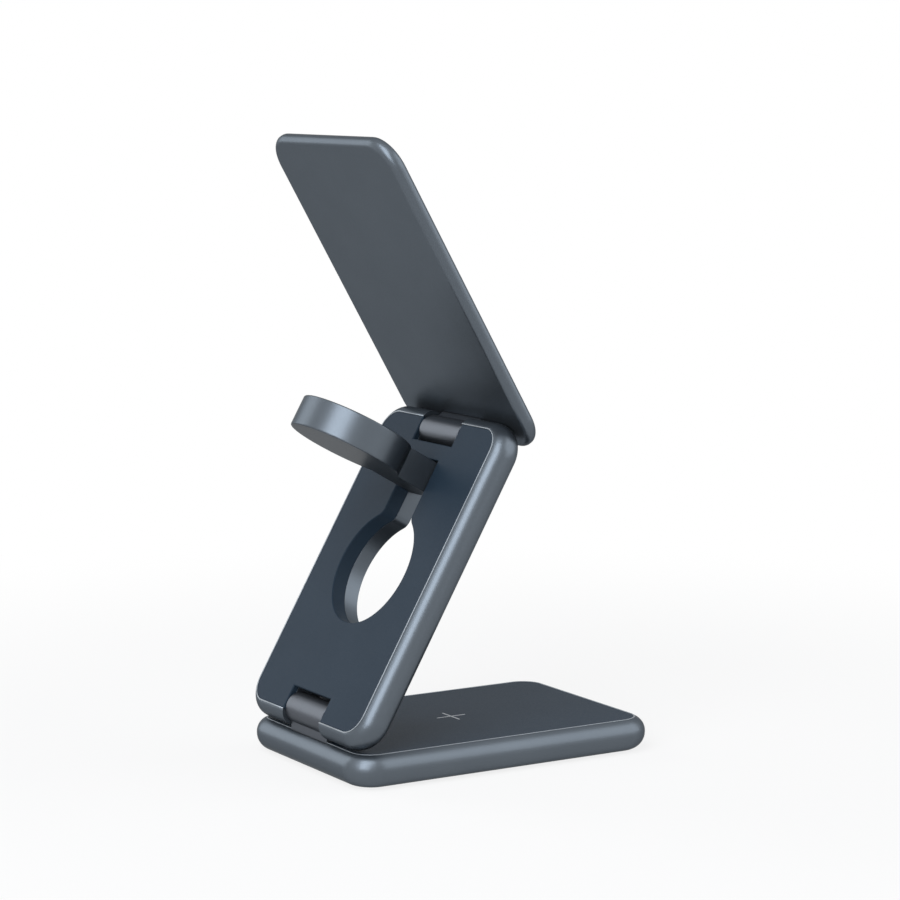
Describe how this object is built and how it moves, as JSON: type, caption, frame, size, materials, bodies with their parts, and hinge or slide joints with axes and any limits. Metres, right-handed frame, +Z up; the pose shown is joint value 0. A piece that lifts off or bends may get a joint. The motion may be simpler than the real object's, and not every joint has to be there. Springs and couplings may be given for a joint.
{
  "type": "wireless charger",
  "caption": "Folding wireless charging stand: flat base, leaning middle panel with a swing-out watch puck, and a thin tilted phone panel.",
  "frame": {"origin": "centre of the underside of the foot pad, where the base rests on the desk", "axes": "+X across the panels, +Y towards the lower hinge at the rear, +Z up; the phone faces -Y and up"},
  "size_m": [0.062, 0.0926, 0.1653],
  "materials": {
    "shell_aluminium": "anodised slate grey, satin",
    "hinge_metal": "anodised, satin",
    "plate_plastic": "fine soft-touch matt",
    "cap_plastic": "smooth gloss",
    "foot_silicone": "matt silicone",
    "pin_steel": "ground",
    "bush_bronze": "turned",
    "screw_steel": "black zinc",
    "circuit_board": "solder mask",
    "chip_resin": "moulded resin",
    "inductor_ferrite": "pressed ferrite",
    "capacitor_ceramic": "ceramic",
    "coil_copper": "enamelled wire",
    "ferrite_sheet": "sintered ferrite",
    "magnet_nickel": "nickel plated",
    "socket_steel": "drawn stainless",
    "tongue_plastic": "moulded"
  },
  "bodies": {
    "base": {"base_shell": "shell_aluminium", "base_top_plate": "plate_plastic", "base_foot_pad": "foot_silicone", "main_board": "circuit_board", "controller_chip": "chip_resin", "power_inductors": "inductor_ferrite", "board_capacitors": "capacitor_ceramic", "board_screws": "screw_steel", "usb_socket_shell": "socket_steel", "usb_socket_tongue": "tongue_plastic", "earbud_coil": "coil_copper", "earbud_ferrite": "ferrite_sheet", "lower_hinge_knuckle": "hinge_metal", "lower_hinge_screws": "screw_steel"},
    "middle_panel": {"middle_shell": "shell_aluminium", "middle_plate": "plate_plastic", "lower_hinge_pin_left": "pin_steel", "lower_hinge_pin_right": "pin_steel", "lower_hinge_bush_left": "bush_bronze", "lower_hinge_bush_right": "bush_bronze", "upper_hinge_pin_left": "pin_steel", "upper_hinge_pin_right": "pin_steel", "upper_hinge_bush_left": "bush_bronze", "upper_hinge_bush_right": "bush_bronze", "arm_pivot_pin": "pin_steel", "relay_board": "circuit_board", "relay_chip": "chip_resin", "relay_screws": "screw_steel"},
    "watch_arm": {"watch_arm_shell": "shell_aluminium", "watch_cap": "cap_plastic", "watch_coil": "coil_copper", "watch_ferrite": "ferrite_sheet", "watch_magnet": "magnet_nickel", "watch_board": "circuit_board"},
    "phone_panel": {"phone_shell": "shell_aluminium", "phone_plate": "plate_plastic", "magnet_ring": "magnet_nickel", "guide_magnet": "magnet_nickel", "phone_coil": "coil_copper", "phone_ferrite": "ferrite_sheet", "upper_hinge_knuckle": "hinge_metal", "upper_hinge_screws": "screw_steel"}
  },
  "joints": [
    {"name": "lower_fold", "type": "hinge", "parent": "base", "child": "middle_panel", "pos_m": [0, 0.0411, 0.0146], "axis": [1, 0, 0], "range_deg": [0, 60]},
    {"name": "upper_fold", "type": "hinge", "parent": "middle_panel", "child": "phone_panel", "pos_m": [0, 0, 0.08579], "axis": [-1, 0, 0], "range_deg": [0, 120]},
    {"name": "watch_arm_swing", "type": "hinge", "parent": "middle_panel", "child": "watch_arm", "pos_m": [0, 0.00695, 0.07375], "axis": [-1, 0, 0], "range_deg": [0, 90]}
  ],
  "couplings": [
    {"joint": "upper_fold", "follows": "lower_fold", "ratio": 2},
    {"joint": "watch_arm_swing", "follows": "lower_fold", "ratio": 1.5}
  ]
}
